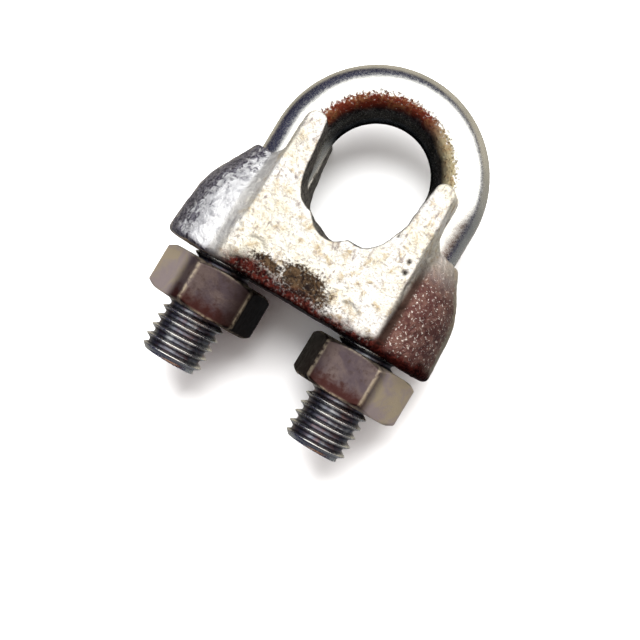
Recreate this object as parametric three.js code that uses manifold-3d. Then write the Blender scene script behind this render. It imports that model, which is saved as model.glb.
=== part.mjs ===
// Wire rope clip: a U-bolt, a cast saddle and two hex nuts, with M8 threads.
// Millimetres. X runs across the two legs, Y runs along them towards the bow and Z is up,
// out of the saddle's front plate. The clip lies on the saddle's back plate at Z = 0.
import * as THREE from 'three';
import { mergeVertices } from 'three/addons/utils/BufferGeometryUtils.js';
import Module from 'manifold-3d';

const wasm = await Module();
wasm.setup();

// ---- driving dimensions, measured from the saddle's underside (Y = 0) and the plane
// ---- of the legs (Z = 0); the finished clip is moved to its own origin at the end

const LEG_X = 10;               // each leg's distance from the middle
const BOW_Y = 18.15;            // where the straight legs turn into the bow
const SHANK_RADIUS = 3.6;       // plain part of the bar, thinner than the rolled thread
const STUD_END_Y = -13.2;
const STUD_CHAMFER = 0.9;

const PITCH = 1.25;             // M8 coarse, right-hand
const PITCH_RADIUS = 3.594;
const FLANK_SLOPE = Math.tan(Math.PI / 6);
const BOLT_CREST = 3.95;
const BOLT_ROOT = 3.25;
const NUT_CREST = 3.42;
const NUT_ROOT = 4.12;
const FLANK_GAP = 0.14;         // along the axis, between a bolt flank and a nut flank
const THREAD_END_Y = 4.5;       // the thread runs out inside the saddle
const THREAD_RUNOUT = 1.0;
const THREAD_SEGMENTS = 20;     // flats in one turn
const SPARE_PITCHES = 2;        // past each end, to be trimmed off
const BAR_STEPS = 36;           // along the unthreaded bar

const NUT_FLATS = 12.4;         // across flats
const NUT_HEIGHT = 5.7;
const NUT_TOP_Y = -0.8;         // the nuts are run up close under the saddle
const NUT_CHAMFER_RADIUS = 6.1; // of the round face that the corner chamfers leave
const NUT_CHAMFER_SLOPE = 0.55;
const NUT_COUNTERSINK = 0.15;   // beyond the root of the nut's thread
const NUT_LEFT_TURN = 18;       // degrees from a flat facing +Z
const NUT_RIGHT_TURN = -9;

const PLATE_DEPTH = 16.8;       // over the front and back plates
const PLATE_HALF_FOOT = 10.2;   // half width of a plate at the underside
const PLATE_HALF_TOP = 9.6;     // and at the tips of its two horns
const PLATE_BEVEL = 0.4;
const HORN_TIP_Y = 20.4;
const HORN_TIP_RADIUS = 1.15;
const BOSS_FOOT_RADIUS = 8.3;
const BOSS_EDGE = 0.5;
const SHOULDER_RADIUS = 7.5;    // the conical shoulder starts here, low on the boss
const SHOULDER_Y = 8.0;
const BOSS_TOP_RADIUS = 4.2;    // and ends here, beside the horns
const BOSS_TOP_Y = 13.9;
const BORE_RADIUS = 4.4;        // clears the thread crests, and opens into the rope opening
const NECK_RADIUS = 3.9;        // above the threads' reach the bore closes in on the shank
const NECK_Y = 12.0;            // up to the top of the boss, where it opens out again to
const NECK_TAPER = 0.6;         // leave room between the horns for the bow's bend

const SEAT_Y = 8.4;             // lowest point of the rope seat
const SEAT_RADIUS = 6.5;
const SEAT_TOP_HALF = 7.1;      // half width of the rope opening between the horn tips
const SEAT_RIB_HEIGHT = 0.8;    // ribs between the rope-lay grooves
const SEAT_RIB_PITCH = 52;      // degrees from rib to rib
const SEAT_RIB_ANGLE = -74;     // of the lowest rib, from +X

const ROUND_SEGMENTS = 48;      // of a boss or a chamfer cone
const BORE_SEGMENTS = 32;
const SEAT_STEPS = 36;
const TIP_STEPS = 6;
const OVERLAP = 0.1;            // how far a cutting or joined solid reaches past a face
const MERGE_DISTANCE = 1e-5;

// ---- materials

const brightZinc = new THREE.MeshStandardMaterial({ color: 0xb9b8b0, roughness: 0.3, metalness: 1 });
const castZinc = new THREE.MeshStandardMaterial({ color: 0xcfc9b8, roughness: 0.5, metalness: 0.9 });
const nutZinc = new THREE.MeshStandardMaterial({ color: 0x9b8a78, roughness: 0.45, metalness: 1 });

// ---- solids: geometries become manifold solids to be joined and cut, and come back

function toSolid(geometry) {
  const bare = geometry.clone();
  bare.deleteAttribute('normal');
  bare.deleteAttribute('uv');
  const merged = mergeVertices(bare, MERGE_DISTANCE);
  return new wasm.Manifold(new wasm.Mesh({
    numProp: 3,
    vertProperties: Float32Array.from(merged.attributes.position.array),
    triVerts: Uint32Array.from(merged.index.array),
  }));
}

function toGeometry(solid) {
  const mesh = solid.getMesh();
  const geometry = new THREE.BufferGeometry();
  geometry.setAttribute('position', new THREE.BufferAttribute(mesh.vertProperties, 3));
  geometry.setIndex(new THREE.BufferAttribute(mesh.triVerts, 1));
  geometry.computeVertexNormals();
  return geometry;
}

/** A solid of revolution about Y, from [radius, y] points listed from bottom to top. */
function turned(points, segments) {
  return new THREE.LatheGeometry(points.map(([r, y]) => new THREE.Vector2(r, y)), segments);
}

/** An outline in X and Y, carried through the full depth in Z. */
function throughZ(shape, depth, bevel) {
  const geometry = new THREE.ExtrudeGeometry(shape, {
    depth: depth - 2 * bevel,
    bevelEnabled: bevel > 0,
    bevelThickness: bevel,
    bevelSize: bevel,
    bevelOffset: -bevel,
    bevelSegments: 1,
  });
  return geometry.translate(0, 0, bevel - depth / 2);
}

// ---- screw threads

/** One pitch of the thread as [y offset, radius]: half width of the ridge at root and crest. */
function threadRidge(root, crest, gap) {
  const halfWidth = (radius) => PITCH / 4 + gap / 2 - (radius - PITCH_RADIUS) * FLANK_SLOPE;
  return [
    [-halfWidth(root), root],
    [-halfWidth(crest), crest],
    [halfWidth(crest), crest],
    [halfWidth(root), root],
  ];
}

/**
 * A rod along Y whose surface is a right-hand helical ridge. Each point of the ridge's
 * section is carried round as one helical line, and the lines are joined row to row,
 * the last row of a turn to the first row of the next. Ridges pass angle 0 at whole
 * pitches, so a bolt and a nut cut with it stay in step. The ends are left ragged,
 * for trimming.
 */
function threadedRod(firstPitch, turns, ridge) {
  const rows = ridge.length;
  const last = turns * THREAD_SEGMENTS;
  const positions = [];
  const index = [];
  for (let step = 0; step <= last + THREAD_SEGMENTS; step += 1) {
    const angle = (2 * Math.PI * step) / THREAD_SEGMENTS;
    for (const [offset, radius] of ridge) {
      const y = PITCH * (firstPitch + step / THREAD_SEGMENTS) + offset;
      positions.push(radius * Math.sin(angle), y, radius * Math.cos(angle));
    }
  }
  const at = (step, row) => (row < rows ? step * rows + row : (step + THREAD_SEGMENTS) * rows);
  for (let step = 0; step < last; step += 1) {
    for (let row = 0; row < rows; row += 1) {
      const [a, b, c, d] = [at(step, row), at(step + 1, row), at(step + 1, row + 1), at(step, row + 1)];
      index.push(a, b, c, a, c, d);
    }
  }
  const bottom = positions.length / 3;
  const top = bottom + 1;
  positions.push(0, PITCH * firstPitch + ridge[0][0], 0);
  positions.push(0, PITCH * (firstPitch + turns + 1) + ridge[0][0], 0);
  for (let step = 0; step < THREAD_SEGMENTS; step += 1) {
    const end = last - THREAD_SEGMENTS + step;
    index.push(bottom, at(step + 1, 0), at(step, 0));
    index.push(top, at(end, rows), at(end + 1, rows));
  }
  for (let row = 0; row < rows; row += 1) {
    index.push(bottom, at(0, row), at(0, row + 1));
    index.push(top, at(last, row + 1), at(last, row));
  }
  const geometry = new THREE.BufferGeometry();
  geometry.setAttribute('position', new THREE.Float32BufferAttribute(positions, 3));
  geometry.setIndex(index);
  return geometry;
}

// ---- U-bolt: a bar with rolled threads on both ends, bent round the rope

/** The bar's centreline: up the left leg, over the bow and down the right leg. */
class BowCurve extends THREE.Curve {
  getPoint(t, target = new THREE.Vector3()) {
    const straight = BOW_Y - (THREAD_END_Y - THREAD_RUNOUT / 2);
    const arc = Math.PI * LEG_X;
    const along = t * (2 * straight + arc);
    if (along < straight) {
      return target.set(-LEG_X, BOW_Y - straight + along, 0);
    }
    if (along > straight + arc) {
      return target.set(LEG_X, BOW_Y - (along - straight - arc), 0);
    }
    const angle = Math.PI - (along - straight) / LEG_X;
    return target.set(LEG_X * Math.cos(angle), BOW_Y + LEG_X * Math.sin(angle), 0);
  }
}

function shank() {
  const section = new THREE.Shape().absarc(0, 0, SHANK_RADIUS, 0, 2 * Math.PI);
  return new THREE.ExtrudeGeometry(section, {
    steps: BAR_STEPS,
    curveSegments: THREAD_SEGMENTS / 2,
    extrudePath: new BowCurve(),
  });
}

/** The threaded end of a leg: a threaded rod trimmed by a chamfered, run-out envelope. */
function threadedEnd() {
  const firstPitch = Math.floor(STUD_END_Y / PITCH) - SPARE_PITCHES;
  const turns = Math.ceil((THREAD_END_Y - STUD_END_Y) / PITCH) + 2 * SPARE_PITCHES;
  const ridge = threadRidge(BOLT_ROOT, BOLT_CREST, -FLANK_GAP);
  const rod = toSolid(threadedRod(firstPitch, turns, ridge));
  const widest = BOLT_CREST + OVERLAP;
  const envelope = toSolid(turned([
    [0, STUD_END_Y],
    [widest - STUD_CHAMFER, STUD_END_Y],
    [widest, STUD_END_Y + STUD_CHAMFER],
    [widest, THREAD_END_Y - THREAD_RUNOUT],
    [SHANK_RADIUS - OVERLAP, THREAD_END_Y],
    [0, THREAD_END_Y],
  ], THREAD_SEGMENTS));
  return rod.intersect(envelope);
}

function uBolt() {
  const end = threadedEnd();
  return toGeometry(toSolid(shank())
    .add(end.translate([-LEG_X, 0, 0]))
    .add(end.translate([LEG_X, 0, 0])));
}

// ---- hex nuts: chamfered on both faces, with a real internal thread

function nut(turnDegrees) {
  const corner = NUT_FLATS / Math.sqrt(3);
  const low = NUT_TOP_Y - NUT_HEIGHT;
  const hex = new THREE.CylinderGeometry(corner, corner, NUT_HEIGHT, 6);
  hex.rotateY(Math.PI / 6 + THREE.MathUtils.degToRad(turnDegrees));
  hex.translate(0, NUT_TOP_Y - NUT_HEIGHT / 2, 0);
  const wide = corner + OVERLAP;
  const drop = (wide - NUT_CHAMFER_RADIUS) * NUT_CHAMFER_SLOPE;
  const chamfered = turned([
    [0, low],
    [NUT_CHAMFER_RADIUS, low],
    [wide, low + drop],
    [wide, NUT_TOP_Y - drop],
    [NUT_CHAMFER_RADIUS, NUT_TOP_Y],
    [0, NUT_TOP_Y],
  ], ROUND_SEGMENTS);
  const firstPitch = Math.floor(low / PITCH) - SPARE_PITCHES;
  const turns = Math.ceil(NUT_HEIGHT / PITCH) + 2 * SPARE_PITCHES;
  const tool = threadedRod(firstPitch, turns, threadRidge(NUT_CREST, NUT_ROOT, FLANK_GAP));
  const mouth = NUT_ROOT + NUT_COUNTERSINK;
  const depth = mouth - NUT_CREST + OVERLAP;
  const countersinks = turned([
    [0, low - OVERLAP],
    [mouth + OVERLAP, low - OVERLAP],
    [NUT_CREST - OVERLAP, low + depth],
    [NUT_CREST - OVERLAP, NUT_TOP_Y - depth],
    [mouth + OVERLAP, NUT_TOP_Y + OVERLAP],
    [0, NUT_TOP_Y + OVERLAP],
  ], THREAD_SEGMENTS);
  return toSolid(hex)
    .intersect(toSolid(chamfered))
    .subtract(toSolid(tool))
    .subtract(toSolid(countersinks));
}

// ---- saddle: a casting with two flat plates, two bored bosses and a ribbed rope seat

/**
 * The rope seat's edge, from its right side down round to its left side: an arc whose
 * radius dips at each rib between the rope-lay grooves, most at the bottom.
 */
function seatPoints() {
  const centreY = SEAT_Y + SEAT_RADIUS;
  const points = [];
  for (let i = 0; i <= SEAT_STEPS; i += 1) {
    const angle = (-Math.PI * i) / SEAT_STEPS;
    const pitches = (THREE.MathUtils.radToDeg(angle) - SEAT_RIB_ANGLE) / SEAT_RIB_PITCH;
    const rib = SEAT_RIB_HEIGHT * (1 - Math.abs(Math.sin(Math.PI * pitches)));
    const radius = SEAT_RADIUS - rib * Math.sin(-angle);
    points.push(new THREE.Vector2(radius * Math.cos(angle), centreY + radius * Math.sin(angle)));
  }
  return points;
}

/** A horn's rounded tip, from right to left; side is 1 for the right horn, -1 for the left. */
function tipPoints(side) {
  const centreX = (side * (PLATE_HALF_TOP + SEAT_TOP_HALF)) / 2;
  const centreY = HORN_TIP_Y - HORN_TIP_RADIUS;
  const half = (PLATE_HALF_TOP - SEAT_TOP_HALF) / 2;
  const points = [];
  for (let i = 0; i <= TIP_STEPS; i += 1) {
    const angle = (Math.PI * i) / TIP_STEPS;
    points.push(new THREE.Vector2(
      centreX + half * Math.cos(angle),
      centreY + HORN_TIP_RADIUS * Math.sin(angle),
    ));
  }
  return points;
}

/** A plate's outline: a foot as wide as the legs and two horns beside the rope opening. */
function plateShape() {
  return new THREE.Shape([
    new THREE.Vector2(-PLATE_HALF_FOOT, 0),
    new THREE.Vector2(PLATE_HALF_FOOT, 0),
    ...tipPoints(1),
    ...seatPoints(),
    ...tipPoints(-1),
  ]);
}

/** The rope opening, from the seat up past the horns. */
function openingShape() {
  const shoulder = HORN_TIP_Y - HORN_TIP_RADIUS;
  return new THREE.Shape([
    new THREE.Vector2(-SEAT_TOP_HALF, HORN_TIP_Y + OVERLAP),
    new THREE.Vector2(-SEAT_TOP_HALF, shoulder),
    ...seatPoints().reverse(),
    new THREE.Vector2(SEAT_TOP_HALF, shoulder),
    new THREE.Vector2(SEAT_TOP_HALF, HORN_TIP_Y + OVERLAP),
  ]);
}

/** A boss round one leg: a turned body with a broken bottom edge and a conical shoulder. */
function boss() {
  return toSolid(turned([
    [0, 0],
    [BOSS_FOOT_RADIUS - BOSS_EDGE, 0],
    [BOSS_FOOT_RADIUS, BOSS_EDGE],
    [SHOULDER_RADIUS, SHOULDER_Y],
    [BOSS_TOP_RADIUS, BOSS_TOP_Y],
    [0, BOSS_TOP_Y],
  ], ROUND_SEGMENTS));
}

function saddle() {
  const plates = toSolid(throughZ(plateShape(), PLATE_DEPTH, PLATE_BEVEL));
  const bosses = boss().translate([-LEG_X, 0, 0]).add(boss().translate([LEG_X, 0, 0]))
    .subtract(toSolid(throughZ(openingShape(), PLATE_DEPTH + 2 * OVERLAP, 0)));
  const bore = toSolid(turned([
    [0, -OVERLAP],
    [BORE_RADIUS, -OVERLAP],
    [BORE_RADIUS, NECK_Y - NECK_TAPER],
    [NECK_RADIUS, NECK_Y],
    [NECK_RADIUS, BOSS_TOP_Y],
    [BORE_RADIUS, BOSS_TOP_Y + NECK_TAPER],
    [BORE_RADIUS, HORN_TIP_Y + OVERLAP],
    [0, HORN_TIP_Y + OVERLAP],
  ], BORE_SEGMENTS));
  return toGeometry(plates.add(bosses)
    .subtract(bore.translate([-LEG_X, 0, 0]))
    .subtract(bore.translate([LEG_X, 0, 0])));
}

// ---- the assembly

function piece(name, geometry, material) {
  const mesh = new THREE.Mesh(geometry, material);
  mesh.name = name;
  return mesh;
}

const clip = new THREE.Group();
clip.add(piece('saddle', saddle(), castZinc));
clip.add(piece('u_bolt', uBolt(), brightZinc));
const nutLeft = toGeometry(nut(NUT_LEFT_TURN).translate([-LEG_X, 0, 0]));
clip.add(piece('nut_left', nutLeft, nutZinc));
const nutRight = toGeometry(nut(NUT_RIGHT_TURN).translate([LEG_X, 0, 0]));
clip.add(piece('nut_right', nutRight, nutZinc));

// The origin is under the middle of the clip's box, on the plane that it lies on.
const bowTopY = BOW_Y + LEG_X + SHANK_RADIUS;
clip.position.set(0, -(bowTopY + STUD_END_Y) / 2, PLATE_DEPTH / 2);

export default clip;
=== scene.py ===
"""A malleable wire rope clip with M8 threads: a bent and threaded U-bolt, a cast saddle that
slides on its legs, and two hexagon nuts. Shapes are worked out in millimetres in the clip's
own frame: X across the legs, Y up them from the saddle's underside, Z out of their plane."""

import bpy
import numpy as np
from mathutils import Matrix, Vector


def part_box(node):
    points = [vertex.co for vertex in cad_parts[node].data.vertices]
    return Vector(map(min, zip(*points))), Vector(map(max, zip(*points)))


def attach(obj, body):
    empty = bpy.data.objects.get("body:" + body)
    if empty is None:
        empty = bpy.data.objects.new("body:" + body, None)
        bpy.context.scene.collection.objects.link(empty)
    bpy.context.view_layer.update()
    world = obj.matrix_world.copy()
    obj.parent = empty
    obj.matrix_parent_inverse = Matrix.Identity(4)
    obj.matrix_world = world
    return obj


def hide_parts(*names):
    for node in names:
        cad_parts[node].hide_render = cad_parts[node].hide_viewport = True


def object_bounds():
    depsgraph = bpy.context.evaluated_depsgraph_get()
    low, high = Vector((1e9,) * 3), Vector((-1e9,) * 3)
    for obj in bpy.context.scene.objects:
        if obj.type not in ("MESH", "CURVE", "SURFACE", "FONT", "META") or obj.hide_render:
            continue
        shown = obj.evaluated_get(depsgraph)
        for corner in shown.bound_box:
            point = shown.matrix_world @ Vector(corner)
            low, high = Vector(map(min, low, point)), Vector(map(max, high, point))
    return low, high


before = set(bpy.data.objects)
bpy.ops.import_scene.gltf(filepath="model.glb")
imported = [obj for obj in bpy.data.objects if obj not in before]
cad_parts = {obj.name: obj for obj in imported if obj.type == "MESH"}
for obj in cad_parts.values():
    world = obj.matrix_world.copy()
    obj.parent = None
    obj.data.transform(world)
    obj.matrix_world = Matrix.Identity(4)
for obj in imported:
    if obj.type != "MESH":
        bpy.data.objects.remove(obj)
cad_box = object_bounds()

# ---- U-bolt
# Round steel bar, threaded M8 by rolling at both ends, then bent round a former and
# zinc plated. The bend roughens the skin on the inside of the bow, where the bar is
# squeezed. The saddle slides on its legs and the two nuts run on its threads.

MM = 0.001
PITCH = 1.25
THREAD_CREST = 3.95
THREAD_ROOT = 3.25
PITCH_RADIUS = 3.594
FLANK_SLOPE = np.tan(np.pi / 6)
FLANK_GAP = 0.14
END_CHAMFER = 0.85
THREAD_STOP = 4.5
RUN_OUT = 1.0
SHANK_RADIUS = 3.6
ROWS_IN_PITCH = 20

saddle_low, saddle_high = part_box("saddle")
bolt_low, bolt_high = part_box("u_bolt")
UNDERSIDE = saddle_low.y / MM
LEG_PLANE = (bolt_low.z + bolt_high.z) / 2 / MM
LEG_X = bolt_high.x / MM - THREAD_CREST
STUD_END = bolt_low.y / MM - UNDERSIDE
BOW_Y = bolt_high.y / MM - UNDERSIDE - SHANK_RADIUS - LEG_X


def in_row(points):
    """Points in millimetres in the clip's own frame, as metres in the shared frame."""
    return (np.asarray(points, float) + [0, UNDERSIDE, LEG_PLANE]) * MM


def make_piece(name, points, *face_sets):
    """A smooth-shaded mesh object from points in the clip's frame and arrays of faces."""
    corners = np.concatenate([faces.ravel() for faces in face_sets])
    sizes = np.concatenate([np.full(len(faces), faces.shape[1]) for faces in face_sets])
    mesh = bpy.data.meshes.new(name)
    mesh.vertices.add(len(points))
    mesh.vertices.foreach_set("co", in_row(points).astype(np.float32).ravel())
    mesh.loops.add(len(corners))
    mesh.loops.foreach_set("vertex_index", corners.astype(np.int32))
    mesh.polygons.add(len(sizes))
    mesh.polygons.foreach_set("loop_start", (np.cumsum(sizes) - sizes).astype(np.int32))
    mesh.update(calc_edges=True)
    mesh.shade_smooth()
    piece = bpy.data.objects.new(name, mesh)
    bpy.context.scene.collection.objects.link(piece)
    return piece


def mark(piece, name, values):
    """A number from 0 to 1 on each vertex, for the material to read."""
    attribute = piece.data.attributes.new(name, "FLOAT", "POINT")
    attribute.data.foreach_set("value", np.clip(values, 0, 1).astype(np.float32))


def ramp(x, low, high):
    """0 below low, 1 above high, and a smooth step between them."""
    t = np.clip((x - low) / (high - low), 0, 1)
    return t * t * (3 - 2 * t)


def soft_min(a, b, width):
    """The smaller of a and b, with the corner between them rounded over width."""
    h = np.maximum(width - np.abs(a - b), 0) / width
    return np.minimum(a, b) - h * h * width / 4


def lumps(points, size, seed):
    """Smooth random heights, about -1 to 1: random values at the corners of a lattice of
    cubes, each size across, blended between the corners by smooth steps along each side."""
    table = np.random.default_rng(seed).uniform(-1, 1, 4096)
    scaled = np.asarray(points) / size + 100
    cell = np.floor(scaled).astype(np.int64)
    t = scaled - cell
    t = t * t * (3 - 2 * t)
    total = 0
    for corner in np.ndindex(2, 2, 2):
        key = (cell + corner) @ np.array([73, 1259, 2503]) % 4096
        total = total + table[key] * np.prod(np.where(corner, t, 1 - t), axis=-1)
    return total


def thread_radius(angle, y, gap, root, crest):
    """Radius of a right-hand thread at a height y and an angle about +Y from +Z towards +X:
    two flanks at 30 degrees that meet over each ridge's middle line, cut off at the crest
    and filled at the root. A ridge passes angle 0 at each whole pitch."""
    phase = y / PITCH - angle / (2 * np.pi)
    off = np.abs(phase - np.round(phase)) * PITCH
    flank = PITCH_RADIUS + (PITCH / 4 + gap / 2 - off) / FLANK_SLOPE
    return -soft_min(-soft_min(flank, crest, 0.12), -root, 0.12)


def bar_path():
    """The bar's middle line from the left stud's end up, round the bow and down to the right
    stud's end: its x and y, its direction away from the bow's middle, and a share of the
    radius that closes the two end faces."""
    thread = np.arange(STUD_END, THREAD_STOP, PITCH / ROWS_IN_PITCH)
    leg = np.concatenate([thread, np.linspace(THREAD_STOP, BOW_Y, 34)])
    face = np.array([0.3, 0.6, 0.85, 0.96])
    sweep = np.linspace(np.pi, 0, 96)[1:-1]
    up = np.concatenate([np.full(len(face), STUD_END), leg])
    share = np.concatenate([face, np.ones(len(leg))])
    straight = np.ones(len(up))
    x = np.concatenate([-LEG_X * straight, LEG_X * np.cos(sweep), LEG_X * straight])
    y = np.concatenate([up, BOW_Y + LEG_X * np.sin(sweep), up[::-1]])
    out_x = np.concatenate([-straight, np.cos(sweep), straight])
    out_y = np.concatenate([0 * up, np.sin(sweep), 0 * up])
    share = np.concatenate([share, np.ones(len(sweep)), share[::-1]])
    return x, y, out_x, out_y, share


def bent_bar(around=88):
    """A circle carried along the bar's line. On the legs its radius is the thread's, fading
    into the plain shank and chamfered at the ends. Round the bow the circle is pressed a
    little flat on its inside. The rows close in a point at each end."""
    x, y, out_x, out_y, share = (column[:, None] for column in bar_path())
    turn = np.linspace(0, 2 * np.pi, around, endpoint=False)[None, :]
    side = np.sign(x)
    angle = np.arctan2(side * np.cos(turn), np.sin(turn))
    bow = ramp(y, BOW_Y - 2, BOW_Y + 3)
    thread = thread_radius(angle, y, -FLANK_GAP, THREAD_ROOT, THREAD_CREST)
    chamfer = THREAD_CREST + 0.1 - END_CHAMFER + (y - STUD_END)
    plain = SHANK_RADIUS - 0.05 - 0.07 * bow * ramp(-np.cos(turn), 0.4, 1)
    fade = ramp(y, THREAD_STOP - RUN_OUT, THREAD_STOP)
    radius = soft_min(thread, chamfer, 0.2) * (1 - fade) + plain * fade
    reach = radius * share
    points = np.stack([
        x + reach * np.cos(turn) * out_x,
        y + reach * np.cos(turn) * out_y,
        reach * np.sin(turn) + 0 * x,
    ], axis=-1)
    outward = np.stack([np.cos(turn) * out_x, np.cos(turn) * out_y, np.sin(turn) + 0 * x], axis=-1)
    skin = 0.022 * (lumps(points, 3.5, 11) - 1) + 0.006 * lumps(points, 0.7, 12)
    nicks = -0.05 * ramp(lumps(points, 0.9, 13), 0.45, 0.8) * ramp(radius, 3.75, 3.95) * (1 - fade)
    points = points + outward * ((skin * fade + nicks) * (share == 1))[..., None]
    groove = ramp(-radius, -3.85, -3.45) * (1 - fade) * ramp(y - STUD_END, 0.2, 0.8)
    inside = bow * ramp(-np.cos(turn), -0.05, 0.4) * (1 - ramp(-np.cos(turn), 0.6, 0.8))
    shaded = bow * ramp(-np.cos(turn) + 0.08 * lumps(points, 1.1, 14), 0.5, 0.68)
    return points, groove, inside, shaded


def ring_faces(rows, around):
    """Quads between neighbouring rows of a tube, facing out of it."""
    row, step = np.meshgrid(np.arange(rows - 1), np.arange(around), indexing="ij")
    after = (step + 1) % around
    quad = [row * around + step, row * around + after, (row + 1) * around + after, (row + 1) * around + step]
    return np.stack(quad, axis=-1).reshape(-1, 4)


bar_points, groove, inside, shaded = bent_bar()
rows, around = groove.shape
poles = np.array([[-LEG_X, STUD_END, 0], [LEG_X, STUD_END, 0]])
step = np.arange(around)
after = (step + 1) % around
first_cap = np.stack([np.full(around, rows * around), after, step], axis=-1)
last_row = (rows - 1) * around
last_cap = np.stack([np.full(around, rows * around + 1), last_row + step, last_row + after], axis=-1)
bolt = make_piece(
    "bent_bar",
    np.concatenate([bar_points.reshape(-1, 3), poles]),
    ring_faces(rows, around),
    first_cap,
    last_cap,
)
mark(bolt, "groove", np.concatenate([groove.ravel(), [0, 0]]))
mark(bolt, "inside", np.concatenate([inside.ravel(), [0, 0]]))
mark(bolt, "shaded", np.concatenate([shaded.ravel(), [0, 0]]))
mark(bolt, "far_side", np.concatenate([ramp(bar_points[..., 0], 2, 6).ravel(), [0, 0]]))


class Finish:
    """A metal's node tree, with a short call for each kind of node that the finishes use."""

    def __init__(self, name, metallic=1.0):
        self.material = bpy.data.materials.new(name)
        self.material.use_nodes = True
        self.tree = self.material.node_tree
        self.shader = self.tree.nodes["Principled BSDF"]
        self.shader.inputs["Metallic"].default_value = metallic
        self.place = self.node("ShaderNodeTexCoord").outputs["Object"]

    def node(self, kind, settings=(), **inputs):
        """A node with these settings. An input is a value or another node's output."""
        node = self.tree.nodes.new(kind)
        for key, value in dict(settings).items():
            setattr(node, key, value)
        for key, value in inputs.items():
            socket = node.inputs[int(key[1:])] if key[1:].isdigit() else node.inputs[key]
            if isinstance(value, bpy.types.NodeSocket):
                self.tree.links.new(value, socket)
            else:
                socket.default_value = value
        return node

    def noise(self, size, detail=4.0, rough=0.55, warp=0.0, stretch=(1, 1, 1)):
        """Random patches about size millimetres across, from 0 to 1."""
        centred = self.node("ShaderNodeMapping", Vector=self.place, Scale=stretch).outputs[0]
        shape = {"Scale": 1 / (size * MM), "Detail": detail, "Roughness": rough, "Distortion": warp}
        return self.node("ShaderNodeTexNoise", Vector=centred, **shape).outputs["Fac"]

    def attribute(self, name):
        """A number that the mesh carries on its vertices."""
        return self.node("ShaderNodeAttribute", {"attribute_name": name}).outputs["Fac"]

    def band(self, value, low, high, to_low=0.0, to_high=1.0):
        """value as a smooth step from to_low at low to to_high at high."""
        settings = {"interpolation_type": "SMOOTHSTEP"}
        ends = {"From Min": low, "From Max": high, "To Min": to_low, "To Max": to_high}
        return self.node("ShaderNodeMapRange", settings, Value=value, **ends).outputs["Result"]

    def math(self, operation, a, b):
        """a and b joined by a sum, product, maximum or other operation."""
        return self.node("ShaderNodeMath", {"operation": operation}, _0=a, _1=b).outputs[0]

    def mix(self, factor, a, b):
        """Colour a where factor is 0 and colour b where it is 1."""
        a, b = ((*value, 1) if isinstance(value, tuple) else value for value in (a, b))
        return self.node("ShaderNodeMix", {"data_type": "RGBA"}, _0=factor, _6=a, _7=b).outputs[2]

    def edge_tint(self, darkness):
        """Takes away the bright rim that metal has at a grazing view, where darkness is 1."""
        tint = self.mix(darkness, (1.0, 1.0, 1.0), (0.06, 0.06, 0.07))
        self.tree.links.new(tint, self.shader.inputs["Specular Tint"])

    def finish(self, colour, roughness, height, depth):
        """Joins a colour, a roughness and a surface height of depth millimetres to the shader."""
        relief = self.node("ShaderNodeBump", Height=height, Distance=depth * MM, Strength=1.0)
        self.tree.links.new(colour, self.shader.inputs["Base Color"])
        self.tree.links.new(roughness, self.shader.inputs["Roughness"])
        self.tree.links.new(relief.outputs["Normal"], self.shader.inputs["Normal"])
        return self.material


def bar_finish():
    """Bright zinc plate, dull and with painted shade down in the thread grooves, bright on the
    crests, stained red-brown on the inside of the bow, and painted dark along its innermost
    line, where a bar like this would be in shade."""
    zinc = Finish("zinc_plated_bar")
    cloud = zinc.noise(3.5, 5)
    speck = zinc.noise(0.35, 3, 0.7)
    smear = zinc.noise(1.2, 4, 0.6, 0.6)
    groove = zinc.attribute("groove")
    inside = zinc.attribute("inside")
    plate = zinc.mix(zinc.band(cloud, 0.35, 0.7), (0.93, 0.92, 0.87), (0.74, 0.74, 0.70))
    ragged = zinc.math("MULTIPLY", zinc.math("SUBTRACT", speck, 0.5), 2.6)
    stain = zinc.band(zinc.math("ADD", inside, ragged), 0.25, 0.75)
    stain = zinc.math("MULTIPLY", stain, zinc.band(inside, 0.0, 0.15))
    stained = zinc.mix(zinc.attribute("far_side"), (0.17, 0.035, 0.02), (0.50, 0.43, 0.26))
    stained = zinc.mix(zinc.band(smear, 0.45, 0.7, 0.0, 0.6), stained, (0.36, 0.20, 0.09))
    specks = zinc.math("MULTIPLY", zinc.band(speck, 0.56, 0.66), 0.8)
    plate = zinc.mix(stain, plate, zinc.mix(specks, stained, (0.04, 0.02, 0.012)))
    shaded = zinc.attribute("shaded")
    # Painted shade along the innermost line of the bow: near black, blue-grey in places.
    inner_shade = zinc.mix(zinc.band(smear, 0.4, 0.7), (0.012, 0.016, 0.02), (0.07, 0.075, 0.085))
    plate = zinc.mix(zinc.math("MULTIPLY", shaded, 0.92), plate, inner_shade)
    # Painted shade down in the thread grooves, dark blue-black to brown.
    groove_shade = zinc.math("MULTIPLY", groove, zinc.band(smear, 0.25, 0.6, 0.6, 1.0))
    thread = zinc.mix(zinc.band(smear, 0.45, 0.7), (0.07, 0.08, 0.12), (0.24, 0.17, 0.17))
    colour = zinc.mix(groove_shade, plate, thread)
    rough = zinc.band(speck, 0.3, 0.75, 0.17, 0.36)
    rough = zinc.math("ADD", rough, zinc.math("MULTIPLY", stain, 0.16))
    rough = zinc.math("ADD", rough, zinc.math("MULTIPLY", groove, 0.12))
    zinc.edge_tint(shaded)
    height = zinc.math("ADD", zinc.math("MULTIPLY", speck, zinc.math("ADD", 0.25, stain)), cloud)
    return zinc.finish(colour, rough, height, 0.05)


bolt.data.materials.append(bar_finish())
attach(bolt, "u_bolt")
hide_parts("u_bolt")

# ---- saddle
# Malleable iron, cast in a sand mould in one piece and hot-dip galvanised: two flat plates
# with a horn at each upper corner, a tapered boss round each leg, and a rope seat between
# the horns whose ribs run askew, to lie in the lay of the rope. The legs pass loosely
# through its two cored holes.

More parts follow.
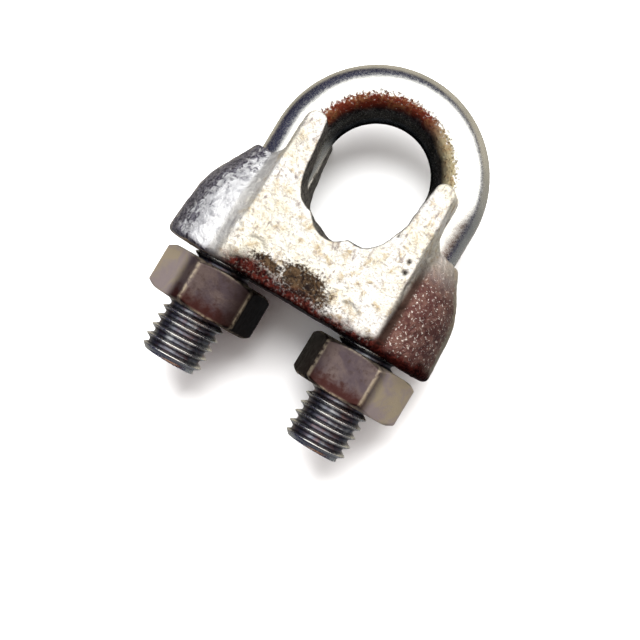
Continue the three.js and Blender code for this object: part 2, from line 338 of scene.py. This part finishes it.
PLATE_HALF_DEPTH = saddle_high.z / MM - LEG_PLANE
HORN_TIP = saddle_high.y / MM - UNDERSIDE
FOOT_REACH = saddle_high.x / MM
PLATE_HALF_FOOT = 10.15
PLATE_HALF_TOP = 9.6
PLATE_EDGE = 0.4
PLATE_DRAFT = 0.2
FOOT_EDGE = 0.95
TIP_EDGE = 1.15
FILLET = 1.2
MOULD_SHIFT = 0.25
SHOULDER = (7.45, 8.0)
NECK = (3.7, 15.0)
BORE_RADIUS = 4.35
NECK_BORE = 3.75
NECK_HEIGHTS = (10.8, 12.2, 14.6, 15.6)
BORE_EDGE = 0.65
SEAT_Y = 8.4
SEAT_RADIUS = 6.5
SEAT_TOP_HALF = 7.1
RIB_HEIGHT = 1.0
RIB_PITCH = np.radians(52)
RIB_ANGLE = np.radians(-74)
RIB_TWIST = 0.06
SKIN = 0.07
NET_STEP = 0.225


def both(a, b, edge):
    """The distance to what lies in both a and b, with the edge between them rounded."""
    over = np.hypot(np.maximum(a + edge, 0), np.maximum(b + edge, 0))
    return np.minimum(-edge, np.maximum(a, b)) + over


def either(a, b, fillet):
    """The distance to what lies in a or b, with the corner between them filled."""
    return -both(-a, -b, fillet)


def rope_opening(x, y, z):
    """The distance to the rope opening: a round seat below, walls that flare to the horn
    tips above, and ribs that stand in from the round and turn with depth."""
    centre_y = SEAT_Y + SEAT_RADIUS
    angle = np.arctan2(y - centre_y, x)
    pitches = (angle - RIB_ANGLE) / RIB_PITCH + RIB_TWIST * (z - PLATE_HALF_DEPTH)
    crest = np.sqrt(np.sin(np.pi * pitches) ** 2 + 0.012)
    rib = RIB_HEIGHT * np.maximum(1.05 - crest, 0) ** 1.2 - 0.15
    seat = np.hypot(x, y - centre_y) - SEAT_RADIUS + rib * np.maximum(-np.sin(angle), 0) ** 1.5
    rise = np.clip((y - centre_y) / (HORN_TIP - TIP_EDGE - centre_y), 0, 1)
    walls = np.abs(x) - SEAT_RADIUS - (SEAT_TOP_HALF - SEAT_RADIUS) * rise
    return np.where(y < centre_y, seat, walls)


def saddle_shape(x, y, z):
    """The distance to the casting's surface, less than 0 inside it. The plates are a block
    with leaning, drafted sides, and each boss is a tapered round with a conical shoulder.
    They are joined with a fillet, and the underside, opening and leg holes are cut out. The
    mould halves are a little out of line, so that the bosses sit left of the holes."""
    plate_x = x - MOULD_SHIFT * z / PLATE_HALF_DEPTH
    lean = (PLATE_HALF_FOOT - PLATE_HALF_TOP) / HORN_TIP
    inset = PLATE_HALF_DEPTH - np.abs(z)
    side = np.abs(plate_x) - PLATE_HALF_FOOT + lean * y - PLATE_DRAFT * np.clip(inset, 0, 4)
    block = both(both(side, y - HORN_TIP, TIP_EDGE), -inset, PLATE_EDGE)
    foot_radius = FOOT_REACH - LEG_X - MOULD_SHIFT
    fall = (SHOULDER[0] - NECK[0]) / (NECK[1] - SHOULDER[1])
    upright = np.hypot(np.maximum(np.abs(x + MOULD_SHIFT) - LEG_X, 0), z)
    foot_cone = upright - foot_radius + (foot_radius - SHOULDER[0]) / SHOULDER[1] * y
    shoulder_cone = (upright - SHOULDER[0] + fall * (y - SHOULDER[1])) / np.hypot(1, fall)
    boss = both(both(foot_cone, shoulder_cone, 0.8), y - HORN_TIP + 3, 0.5)
    solid = either(block, boss, FILLET)
    opening = rope_opening(plate_x, y, z)
    solid = both(solid, -opening, 0.38)
    solid = np.maximum(solid, both(y - HORN_TIP, -opening, TIP_EDGE))
    solid = both(solid, -y, FOOT_EDGE)
    bore = np.interp(y, NECK_HEIGHTS, [BORE_RADIUS, NECK_BORE, NECK_BORE, BORE_RADIUS])
    return both(solid, bore - np.hypot(np.abs(x) - LEG_X, z), BORE_EDGE) + SKIN


def without_pinches(values):
    """The lattice values with no checkered square, where two sheets of the surface would
    touch along an edge: the inner corners of each such square are turned to outer ones."""
    for _ in range(6):
        inside = values < 0
        opened = np.zeros(values.shape, bool)
        for pair in ((0, 1), (0, 2), (1, 2)):
            s = np.moveaxis(inside, pair, (0, 1))
            o = np.moveaxis(opened, pair, (0, 1))
            first, last = s[:-1, :-1], s[1:, 1:]
            checkered = (first == last) & (s[1:, :-1] == s[:-1, 1:]) & (first != s[1:, :-1])
            for i, j in np.ndindex(2, 2):
                window = (slice(i, s.shape[0] - 1 + i), slice(j, s.shape[1] - 1 + j))
                o[window] |= checkered & s[window]
        values = np.where(opened, np.abs(values), values)
    return values


def surface_net(values):
    """A mesh where values cross 0 on a lattice. Each cube that the surface passes through
    gets a point at the mean of the crossings on its sides, and each side that is crossed
    gets a quad that joins the points of the four cubes round it."""
    cubes = np.array(values.shape) - 1
    total = np.zeros((*cubes, 3))
    count = np.zeros(cubes)
    crossed = []
    for axis in range(3):
        moved = np.moveaxis(values, axis, 0)
        before, after = moved[:-1], moved[1:]
        crossing = (before < 0) != (after < 0)
        where = np.argwhere(crossing)
        share = before[crossing] / (before[crossing] - after[crossing])
        crossed.append((where, before[crossing] < 0))
        for side in np.ndindex(2, 2):
            cube = where - [0, *side]
            kept = (cube[:, 1:] >= 0).all(axis=1) & (cube[:, 1:] < np.delete(cubes, axis)).all(axis=1)
            offset = np.stack([share, np.full(len(share), side[0]), np.full(len(share), side[1])], axis=1)
            order = [0, 1, 2]
            order.remove(axis)
            order = np.argsort([axis, *order])
            place = (cube + offset)[:, order][kept]
            index = tuple(cube[:, order][kept].T)
            np.add.at(total, index, place)
            np.add.at(count, index, 1)
    number = np.cumsum(count.ravel() > 0).reshape(count.shape) - 1
    filled = count > 0
    points = total[filled] / count[filled][:, None]
    quads = []
    for axis, (where, outward) in enumerate(crossed):
        order = [0, 1, 2]
        order.remove(axis)
        order = np.argsort([axis, *order])
        rings = [(where - [0, a, b])[:, order] for a, b in ((1, 1), (0, 1), (0, 0), (1, 0))]
        quad = np.stack([number[tuple(ring.T)] for ring in rings], axis=1)
        flipped = outward == (axis == 1)
        quad[flipped] = quad[flipped][:, ::-1]
        quads.append(quad)
    return points, np.concatenate(quads)


def slope_of(points):
    """The distance field's value and slope at each point, by differences over a hair's width."""
    hair = 0.01
    value = saddle_shape(*points.T)
    steps = [saddle_shape(*(points + hair * np.eye(3)[axis]).T) - value for axis in range(3)]
    return value, np.stack(steps, axis=1) / hair


def hollows(points, outward):
    """The front plate's own faults, 0 to 1: two cold shuts, which are short curved lines near
    the foot, and four pinholes beside the right horn."""
    x, y = points[:, 0], points[:, 1]
    lines = 0
    for start, end, height, bend in ((-7.9, -5.2, 4.1, 0.5), (4.8, 7.6, 3.0, 0.6)):
        along = (x - start) / (end - start)
        off = y - height - bend * np.sin(np.pi * along) + 0.4 * along
        within = ramp(along, -0.05, 0.15) * (1 - ramp(along, 0.85, 1.05))
        lines = np.maximum(lines, within * (1 - ramp(np.abs(off), 0.06, 0.26)))
    holes = 0
    for hole_x, hole_y, radius in ((6.7, 14.3, 0.2), (9.1, 10.7, 0.3), (9.3, 9.4, 0.36), (6.6, 12.6, 0.2)):
        holes = np.maximum(holes, 1 - ramp(np.hypot(x - hole_x, y - hole_y), 0.5 * radius, 1.3 * radius))
    return np.maximum(0.6 * lines, holes) * ramp(outward[:, 2], 0.7, 0.95)


def casting_skin(points, outward):
    """How far the sand mould's roughness moves the skin: broad swells, sand grain and pits,
    stronger on the bosses than on the flat plates."""
    flat = ramp(np.abs(outward[:, 2]), 0.8, 0.97)
    swell = 0.09 * lumps(points, 3.1, 21) + 0.06 * lumps(points, 1.3, 22)
    grain = 0.026 * lumps(points, 0.62, 23) + 0.016 * lumps(points, 0.4, 24)
    pits = -0.14 * ramp(lumps(points, 0.95, 25), 0.62, 0.9)
    faults = -0.2 * hollows(points, outward)
    return (swell + grain * 1.3) * (1 - 0.45 * flat) + pits + faults


margin = 2 * NET_STEP
low = np.array([-FOOT_REACH, 0, -PLATE_HALF_DEPTH]) - margin
high = np.array([FOOT_REACH, HORN_TIP, PLATE_HALF_DEPTH]) + margin
lattice = [np.arange(a, b + NET_STEP, NET_STEP) for a, b in zip(low, high)]
field = without_pinches(saddle_shape(*np.meshgrid(*lattice, indexing="ij")))
net_points, net_quads = surface_net(field)
net_points = net_points * NET_STEP + low
for _ in range(4):
    value, slope = slope_of(net_points)
    length = np.maximum(np.linalg.norm(slope, axis=1), 0.3)
    net_points -= np.clip(value / length, -0.1, 0.1)[:, None] * slope / length[:, None]
value, slope = slope_of(net_points)
outward = slope / np.maximum(np.linalg.norm(slope, axis=1), 0.3)[:, None]
cast_points = net_points + outward * casting_skin(net_points, outward)[:, None]
cast_points = np.clip(cast_points, low + margin, high - margin)
saddle = make_piece("cast_saddle", cast_points, net_quads)

x, y, z = cast_points.T
ragged = 0.6 * lumps(cast_points, 1.6, 31) + 0.4 * lumps(cast_points, 0.6, 32)
front = ramp(outward[:, 2], 0.6, 0.9)
# The band along the foot's edge, where the casting's material paints shade.
foot_height = 1.4 + 0.7 * ragged + 0.9 * np.exp(-((x + 6) / 3) ** 2)
foot = (1 - ramp(y, foot_height - 0.7, foot_height + 0.7)) * ramp(x, -12, -8)
patch = np.hypot((x - 0.3) / 4.2, (y - 2.6) / 2.3)
trail = np.hypot((x + 4.2) / 4.6, (y - 1.9 + 0.14 * x) / 1.15) + 0.25
scorch = 1 - ramp(np.minimum(patch, trail) + 0.35 * ragged, 0.3, 1.5)
inside_seat = (np.abs(x) < 8) & (y > 7)
mark(saddle, "foot", foot)
mark(saddle, "scorch", scorch * front)
mark(saddle, "right_boss", ramp(x - 0.03 * y, 9.6, 10.6) * (1 - ramp(y, 9, 17)))
mark(saddle, "left_boss", ramp(-x - 0.03 * y, 9.6, 10.6))
mark(saddle, "near_plate", 1 - ramp(np.abs(x), 10.6, 12.4))
mark(saddle, "facing", np.abs(outward[:, 2]))
mark(saddle, "seat", inside_seat * (1 - ramp(np.abs(outward[:, 2]), 0.35, 0.85)))
mark(saddle, "hollow", hollows(net_points, outward))


def casting_finish():
    """Galvanised iron: cream-white zinc with yellow, pink and grey speckle, a scorched patch
    by the foot, and painted shade, dark red-brown, along the foot's edge. The bands down the
    bosses and the dark seat stand for reflections and shade, and are painted on by the way a
    face looks."""
    zinc = Finish("galvanised_casting", 0.85)
    broad = zinc.noise(4.5, 4, 0.6)
    mottle = zinc.noise(1.1, 5, 0.65, 0.4)
    fine = zinc.noise(0.33, 4, 0.7)
    other = zinc.noise(0.75, 5, 0.6, 1.0)
    streak = zinc.noise(0.9, 4, 0.6, 0.3, (1.5, 0.5, 1))
    scorch = zinc.attribute("scorch")
    facing = zinc.attribute("facing")
    near_plate = zinc.attribute("near_plate")
    shaken = zinc.math("ADD", facing, zinc.math("MULTIPLY", zinc.math("SUBTRACT", other, 0.5), 0.9))

    cream = zinc.mix(zinc.band(broad, 0.35, 0.65), (0.86, 0.84, 0.79), (0.80, 0.76, 0.63))
    cream = zinc.mix(zinc.band(mottle, 0.5, 0.7), cream, (0.56, 0.45, 0.28))
    cream = zinc.mix(zinc.band(fine, 0.5, 0.66, 0.0, 0.7), cream, (0.36, 0.31, 0.29))
    cream = zinc.mix(zinc.band(streak, 0.56, 0.72, 0.0, 0.8), cream, (0.27, 0.22, 0.20))

    purple = zinc.mix(zinc.band(fine, 0.42, 0.62), (0.05, 0.043, 0.065), (0.30, 0.29, 0.33))
    dark = zinc.math("MULTIPLY", zinc.band(shaken, 0.2, 0.4), zinc.band(shaken, 0.68, 0.86, 1.0, 0.0))
    left = zinc.mix(zinc.band(mottle, 0.45, 0.68), (0.92, 0.92, 0.92), (0.50, 0.50, 0.52))
    left = zinc.mix(dark, left, purple)
    left = zinc.mix(zinc.band(shaken, 0.1, 0.45, 1.0, 0.0), left, (0.42, 0.35, 0.28))
    left = zinc.mix(zinc.band(near_plate, 0.35, 0.9), left, (0.50, 0.49, 0.47))
    colour = zinc.mix(zinc.attribute("left_boss"), cream, left)

    # The right boss: dark red-brown, partly its own pitted colour and partly a painted reflection of the
    # brown room, with pale speckle, a tan band where it turns away and near black next to the plate.
    right = zinc.mix(zinc.band(mottle, 0.42, 0.62), (0.10, 0.04, 0.035), (0.19, 0.10, 0.08))
    right = zinc.mix(zinc.band(fine, 0.57, 0.66), right, (0.85, 0.76, 0.68))
    right = zinc.mix(zinc.band(shaken, 0.18, 0.42, 1.0, 0.0), right, (0.30, 0.26, 0.19))
    right = zinc.mix(zinc.band(near_plate, 0.3, 0.8), right, (0.055, 0.03, 0.022))
    colour = zinc.mix(zinc.attribute("right_boss"), colour, right)

    walls = zinc.mix(zinc.band(other, 0.4, 0.6), (0.13, 0.12, 0.12), (0.34, 0.32, 0.29))
    colour = zinc.mix(zinc.attribute("seat"), colour, walls)
    brown = zinc.mix(zinc.band(other, 0.35, 0.66), (0.014, 0.008, 0.007), (0.13, 0.08, 0.042))
    spread = zinc.math("ADD", scorch, zinc.math("MULTIPLY", zinc.math("SUBTRACT", fine, 0.5), 1.9))
    burnt = zinc.math("MULTIPLY", zinc.band(spread, 0.3, 0.85), zinc.band(scorch, 0.02, 0.3))
    colour = zinc.mix(burnt, colour, brown)
    # Painted shade along the foot's edge: dark red-brown, for the shade and the dark that its rounded
    # underside reflects.
    edge = zinc.mix(zinc.band(other, 0.42, 0.62), (0.016, 0.003, 0.003), (0.075, 0.014, 0.010))
    foot = zinc.math("MULTIPLY", zinc.attribute("foot"), zinc.band(fine, 0.25, 0.5, 0.75, 1.0))
    colour = zinc.mix(foot, colour, edge)
    # The cold shuts and pinholes are painted near black, as painted shade down in them.
    hollow = zinc.attribute("hollow")
    colour = zinc.mix(hollow, colour, (0.02, 0.016, 0.012))
    rough = zinc.band(mottle, 0.3, 0.7, 0.30, 0.50)
    rough = zinc.math("ADD", rough, zinc.math("MULTIPLY", burnt, 0.2))
    height = zinc.math("ADD", zinc.math("MULTIPLY", mottle, 1.2), zinc.math("MULTIPLY", fine, 0.5))
    zinc.edge_tint(zinc.math("MAXIMUM", zinc.attribute("seat"), foot))
    return zinc.finish(colour, rough, height, 0.2)


saddle.data.materials.append(casting_finish())
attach(saddle, "saddle")
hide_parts("saddle")

# ---- nuts
# Two hexagon nuts a little under the usual 13 mm across flats, tapped M8 and zinc plated
# with a yellow-brown passivation. They are run up under the saddle, each at its own turn,
# and a painted highlight runs along their edges.

NUT_FLATS = 12.4
NUT_FACE_RADIUS = 6.1
NUT_FACE_SLOPE = 0.55
NUT_THREAD_CREST = 3.42
NUT_THREAD_ROOT = 4.12
NUT_CORNER_SHARPNESS = 46
SINK_DEPTH = 0.9


def hexagon(angle):
    """The radius of a hexagon with a flat at angle 0 and slightly rounded corners: a high
    power mean of the distances to its six sides."""
    sides = np.arange(6) * np.pi / 3
    facing = np.maximum(np.cos(angle[..., None] - sides), 0) * 2 / NUT_FLATS
    return (facing ** NUT_CORNER_SHARPNESS).sum(axis=-1) ** (-1 / NUT_CORNER_SHARPNESS)


def nut_surface(node, turn, seed, around=252):
    """One closed band of rows carried round the nut's axis: out across the top face, down
    the chamfer cone, the side and the lower cone, in across the lower face, and up the
    tapped hole. The cone meets each flat in a curve because the hexagon's radius changes."""
    nut_low, nut_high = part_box(node)
    top, bottom = nut_high.y / MM - UNDERSIDE, nut_low.y / MM - UNDERSIDE
    side = np.sign(nut_low.x + nut_high.x)
    angle = np.linspace(0, 2 * np.pi, around, endpoint=False)[None, :]
    corner = hexagon(angle - np.radians(turn))
    drop = np.maximum(corner - NUT_FACE_RADIUS, 0) * NUT_FACE_SLOPE
    mouth = NUT_THREAD_ROOT + 0.15
    across = np.linspace(0, 1, 12)[:, None]
    cone = np.linspace(0, 1, 9)[1:, None]
    down = np.linspace(0, 1, 52)[1:-1, None]
    flat = 0 * angle
    inner = np.linspace(bottom + SINK_DEPTH, top - SINK_DEPTH, 58)[:, None]
    thread = thread_radius(angle, inner, FLANK_GAP, NUT_THREAD_CREST, NUT_THREAD_ROOT)
    sink = np.linspace(0, 1, 5)[1:-1, None]
    radius = np.concatenate([
        mouth + (NUT_FACE_RADIUS - mouth) * across + flat,
        NUT_FACE_RADIUS + (corner - NUT_FACE_RADIUS) * cone,
        corner + 0 * down,
        corner + (NUT_FACE_RADIUS - corner) * (cone - cone[0]) / (1 - cone[0]),
        NUT_FACE_RADIUS + (mouth - NUT_FACE_RADIUS) * across[1:] + flat,
        mouth + (thread[:1] - mouth) * sink,
        thread,
        thread[-1:] + (mouth - thread[-1:]) * sink,
    ])
    height = np.concatenate([
        top + 0 * across + flat,
        top - drop * cone,
        top - drop - (top - bottom - 2 * drop) * down,
        bottom + drop * (1 - (cone - cone[0]) / (1 - cone[0])),
        bottom + 0 * across[1:] + flat,
        bottom + (inner[:1] - bottom) * sink + flat,
        inner + flat,
        inner[-1:] + (top - inner[-1:]) * sink + flat,
    ])
    for _ in range(2):
        radius = (np.roll(radius, 1, 0) + 2 * radius + np.roll(radius, -1, 0)) / 4
        height = (np.roll(height, 1, 0) + 2 * height + np.roll(height, -1, 0)) / 4
    middle = LEG_X * side
    points = np.stack([middle + radius * np.sin(angle), height, radius * np.cos(angle)], axis=-1)
    dents = 0.02 * (lumps(points, 2.4, seed) - 1) + 0.006 * lumps(points, 0.6, seed + 1)
    shrink = dents * ramp(radius, 4.6, 5.2) / radius
    points[..., 0] += (points[..., 0] - middle) * shrink
    points[..., 2] += points[..., 2] * shrink
    below = ramp(-height, -bottom - 3.4, -bottom - 0.2)
    # Where a painted highlight runs along the hex corners and the rims of the flats.
    flats_edge = ramp(corner, 6.97, 7.04) + ramp(np.abs(height - (top + bottom) / 2), 2.45, 2.8)
    edge_glint = flats_edge * ramp(radius, 5.8, 6.1)
    bore = ramp(-radius, -4.7, -4.2)
    outer = ramp(side * np.sin(angle + 0 * radius), 0.35, 0.6)
    inner = ramp(-side * np.sin(angle + 0 * radius), 0.35, 0.75)
    return points, {"below": below, "edge_glint": edge_glint, "bore": bore, "outer": outer, "inner": inner}


def make_nut(node, turn, seed):
    """A nut's mesh, closed round the axis and round its profile, facing outwards."""
    points, marks = nut_surface(node, turn, seed)
    rows, around = points.shape[:2]
    faces = ring_faces(rows + 1, around)[:, ::-1] % (rows * around)
    piece = make_piece("hex_" + node, points.reshape(-1, 3), faces)
    for name, values in marks.items():
        mark(piece, name, values.ravel())
    return piece


def nut_finish():
    """Passivated zinc, dulled: brown-mauve clouds, redder towards the lower face, and a painted
    highlight along the edges. The tan outer faces and near-black faces between the legs stand for
    light and shade, and are painted on."""
    zinc = Finish("passivated_nut", 0.75)
    cloud = zinc.noise(3.2, 4, 0.6, 0.5)
    mottle = zinc.noise(0.8, 5, 0.65)
    fine = zinc.noise(0.22, 3, 0.7)
    below = zinc.attribute("below")
    inner = zinc.attribute("inner")
    brown = zinc.mix(zinc.band(cloud, 0.38, 0.62), (0.095, 0.068, 0.062), (0.06, 0.042, 0.047))
    brown = zinc.mix(zinc.band(mottle, 0.5, 0.75), brown, (0.05, 0.03, 0.025))
    low = zinc.math("ADD", below, zinc.math("MULTIPLY", zinc.math("SUBTRACT", mottle, 0.5), 1.2))
    colour = zinc.mix(zinc.band(low, 0.2, 1.0), brown, (0.035, 0.008, 0.006))
    pale = zinc.mix(zinc.band(cloud, 0.4, 0.6), (0.50, 0.41, 0.28), (0.42, 0.34, 0.32))
    colour = zinc.mix(zinc.attribute("outer"), colour, pale)
    colour = zinc.mix(zinc.math("MULTIPLY", inner, 0.95), colour, (0.012, 0.006, 0.005))
    # A painted highlight along the edges, in patches.
    edge_highlight = zinc.math("MULTIPLY", zinc.attribute("edge_glint"), zinc.band(mottle, 0.35, 0.6))
    colour = zinc.mix(zinc.math("MULTIPLY", edge_highlight, 0.5), colour, (0.50, 0.42, 0.30))
    colour = zinc.mix(zinc.attribute("bore"), colour, (0.10, 0.08, 0.07))
    rough = zinc.band(mottle, 0.3, 0.7, 0.28, 0.46)
    height = zinc.math("ADD", mottle, zinc.math("MULTIPLY", fine, 0.6))
    zinc.edge_tint(zinc.math("MULTIPLY", inner, 0.9))
    return zinc.finish(colour, rough, height, 0.03)


plated_nut = nut_finish()
for node, turn, seed in (("nut_left", 18, 41), ("nut_right", -9, 51)):
    nut = make_nut(node, turn, seed)
    nut.data.materials.append(plated_nut)
    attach(nut, node)
    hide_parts(node)

# ---- table and light
# The clip lies on a plain pale table. A broad soft panel hangs over it, and the room
# round it is dark near the table's level and brown on the side of the nuts.

EYE = (16.53, -2.22, 140.17)
AIM = (3.11, 0.22, 0.0)
UPRIGHT = Vector((-0.5117, 0.8568, 0.0639))
LEFTWARD = Vector((-0.8538, -0.5154, 0.0728))
LENS = 66.87

bpy.ops.mesh.primitive_plane_add(size=3)
table = bpy.context.object
table.name = "table_top"
table.location.z = cad_box[0].z
paint = Finish("pale_table", 0.0)
grain = paint.noise(6, 3)
paint.shader.inputs["Specular IOR Level"].default_value = 0.1
table.data.materials.append(paint.finish(
    paint.mix(grain, (0.90, 0.90, 0.90), (0.93, 0.93, 0.925)),
    paint.band(grain, 0, 1, 0.8, 0.9),
    grain,
    0.01,
))
table.visible_glossy = False

world = bpy.data.worlds.new("studio")
bpy.context.scene.world = world
world.use_nodes = True


class Room(Finish):
    """The world's node tree, with the same short calls as a finish."""

    def __init__(self):
        self.tree = world.node_tree
        self.place = self.node("ShaderNodeTexCoord").outputs["Generated"]

    def towards(self, direction):
        """How far a ray points along a direction, from -1 to 1."""
        settings = {"operation": "DOT_PRODUCT"}
        return self.node("ShaderNodeVectorMath", settings, _0=self.place, _1=direction).outputs["Value"]


room = Room()
level = room.node("ShaderNodeSeparateXYZ", Vector=room.place).outputs["Z"]
towards_bow = room.towards(UPRIGHT)
towards_left = room.towards(LEFTWARD)
brown = room.mix(room.band(level, 0.1, 0.9), (0.03, 0.008, 0.006), (0.30, 0.15, 0.09))
sky = room.mix(room.band(towards_bow, -0.34, -0.06), brown, (1.9, 1.9, 1.88))
dusk = room.math("SUBTRACT", level, room.math("MULTIPLY", towards_left, 0.35))
sky = room.mix(room.band(dusk, 0.3, 0.62), (0.05, 0.053, 0.095), sky)
dawn = room.math("ADD", level, room.math("MULTIPLY", towards_left, 0.2))
ground = room.mix(room.band(towards_bow, -0.6, 0.5), (0.17, 0.18, 0.20), (0.50, 0.46, 0.38))
ground = room.mix(room.band(dawn, -0.45, -0.2), ground, (0.03, 0.03, 0.06))
surroundings = room.mix(room.band(level, -0.02, 0.02), ground, sky)
seen = room.node("ShaderNodeLightPath").outputs["Is Camera Ray"]
background = room.tree.nodes["Background"]
room.tree.links.new(room.mix(seen, surroundings, (0.93, 0.93, 0.93)), background.inputs["Color"])

panel = bpy.data.lights.new("soft_panel", "AREA")
panel.shape = "DISK"
panel.size = 0.5
panel.energy = 9
lamp = bpy.data.objects.new("soft_panel", panel)
bpy.context.scene.collection.objects.link(lamp)
lamp.location = Vector((-0.12, 0.3, 0.5))
lamp.rotation_mode = "QUATERNION"
lamp.rotation_quaternion = (-lamp.location).to_track_quat("-Z", "Y")
lamp.visible_glossy = False

# ---- camera
# It looks down on the clip's front plate from a little to the right of it.

eye, aim = (Vector(in_row(point)) for point in (EYE, AIM))
back = (eye - aim).normalized()
right = UPRIGHT.cross(back).normalized()
camera = bpy.data.objects.new("camera", bpy.data.cameras.new("camera"))
bpy.context.scene.collection.objects.link(camera)
camera.matrix_world = Matrix.Translation(eye) @ Matrix((right, back.cross(right), back)).transposed().to_4x4()
camera.data.lens = LENS
camera.data.sensor_width = 36
camera.data.clip_start = 0.01
bpy.context.scene.camera = camera
bpy.context.scene.view_settings.view_transform = "Standard"
